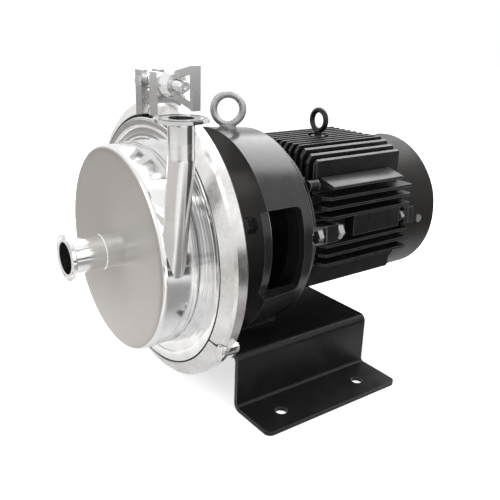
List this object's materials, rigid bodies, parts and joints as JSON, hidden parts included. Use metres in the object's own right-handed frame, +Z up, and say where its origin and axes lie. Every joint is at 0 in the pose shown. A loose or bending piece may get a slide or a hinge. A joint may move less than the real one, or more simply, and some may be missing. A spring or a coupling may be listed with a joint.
{
  "type": "sanitary centrifugal pump",
  "caption": "Close-coupled sanitary centrifugal pump: stainless drum casing in a hinged clamp ring, clamp ferrule ports, black lantern and finned flange motor on a bent foot bracket.",
  "frame": {"origin": "on the floor plane under the shaft, at the casing's front rim plane", "axes": "+Y along the shaft from the inlet to the motor, +Z up, the discharge stands on the +X side"},
  "size_m": [0.343, 0.511, 0.378],
  "materials": {
    "stainless_satin": "satin stainless steel, turned and brushed",
    "stainless_bright": "polished stainless steel",
    "black_paint": "gloss black paint",
    "zinc_steel": "zinc plated steel",
    "machined_steel": "plain machined steel",
    "laminated_steel": "stacked electrical steel",
    "cast_aluminium": "cast aluminium",
    "copper_winding": "varnished copper wire",
    "seal_rubber": "black elastomer",
    "seal_ceramic": "ceramic, stated as a hard gloss surface",
    "fan_plastic": "black moulded plastic",
    "cover_paint": "dark olive black paint"
  },
  "bodies": {
    "pump_and_motor": {"casing": "stainless_bright", "casing_front": "stainless_satin", "discharge_tube": "stainless_bright", "inlet_nozzle": "stainless_bright", "outlet_ferrule": "stainless_bright", "casing_gasket": "seal_rubber", "back_plate": "stainless_satin", "seal_seat": "seal_ceramic", "clamp_bottom_segment": "stainless_bright", "hinge_pin_right": "stainless_bright", "hinge_pin_left": "stainless_bright", "seal_carrier": "stainless_satin", "back_plate_screws": "machined_steel", "lantern": "black_paint", "lantern_screws": "black_paint", "lantern_foot_bolts": "zinc_steel", "lifting_eye_bolt": "zinc_steel", "foot_bracket": "black_paint", "motor_flange_shield": "black_paint", "motor_flange_bolts": "black_paint", "motor_frame": "black_paint", "front_shield_bolts": "zinc_steel", "front_shield_nuts": "zinc_steel", "rear_shield_bolts": "zinc_steel", "motor_eye_bolt": "black_paint", "stator_core": "laminated_steel", "stator_winding": "copper_winding", "bearing_outer_rings": "machined_steel", "rear_shield": "black_paint", "fan_cover": "cover_paint", "fan_cover_screws": "zinc_steel", "terminal_box": "black_paint", "terminal_box_lid": "black_paint", "terminal_box_screws": "zinc_steel", "cable_gland": "fan_plastic"},
    "rotor": {"impeller": "stainless_satin", "impeller_nut": "stainless_bright", "pump_shaft": "machined_steel", "shaft_key": "machined_steel", "shaft_set_screw": "machined_steel", "seal_ring": "seal_ceramic", "seal_bellows": "seal_rubber", "motor_shaft": "machined_steel", "rotor_core": "cast_aluminium", "bearing_inner_rings": "machined_steel", "fan": "fan_plastic"},
    "clamp_right": {"clamp_right_segment": "stainless_bright", "latch_ear_right": "stainless_bright"},
    "clamp_left": {"clamp_left_segment": "stainless_bright", "latch_ear_left": "stainless_bright", "swing_bolt_pin": "stainless_bright"},
    "swing_bolt": {"swing_bolt": "stainless_bright"},
    "nut_washer": {"clamp_washer": "stainless_bright"},
    "wing_nut": {"wing_nut": "stainless_bright", "wing_nut_hub": "stainless_bright"}
  },
  "joints": [
    {"name": "shaft_spin", "type": "hinge", "parent": "pump_and_motor", "child": "rotor", "pos_m": [0, 0.1, 0.18], "axis": [0, 1, 0], "continuous": true},
    {"name": "clamp_right_open", "type": "hinge", "parent": "pump_and_motor", "child": "clamp_right", "pos_m": [0.13528, 0.063, 0.10032], "axis": [0, 1, 0], "range_deg": [0, 1.35]},
    {"name": "clamp_left_open", "type": "hinge", "parent": "pump_and_motor", "child": "clamp_left", "pos_m": [-0.13528, 0.063, 0.10032], "axis": [0, -1, 0], "range_deg": [0, 1.35]},
    {"name": "bolt_swing", "type": "hinge", "parent": "clamp_left", "child": "swing_bolt", "pos_m": [-0.0255, 0.063, 0.3565], "axis": [0, -1, 0], "range_deg": [0, 105]},
    {"name": "nut_travel", "type": "slide", "parent": "swing_bolt", "child": "nut_washer", "axis": [1, 0, 0], "range_m": [0, 0.0141]},
    {"name": "wing_nut_spin", "type": "hinge", "parent": "nut_washer", "child": "wing_nut", "pos_m": [0.02, 0.063, 0.3565], "axis": [1, 0, 0], "range_deg": [0, 2880]}
  ],
  "couplings": [
    {"joint": "nut_travel", "follows": "wing_nut_spin", "m_per_rad": 0.00027852},
    {"joint": "clamp_right_open", "follows": "wing_nut_spin", "ratio": 0.00046594},
    {"joint": "clamp_left_open", "follows": "wing_nut_spin", "ratio": 0.00046594}
  ]
}
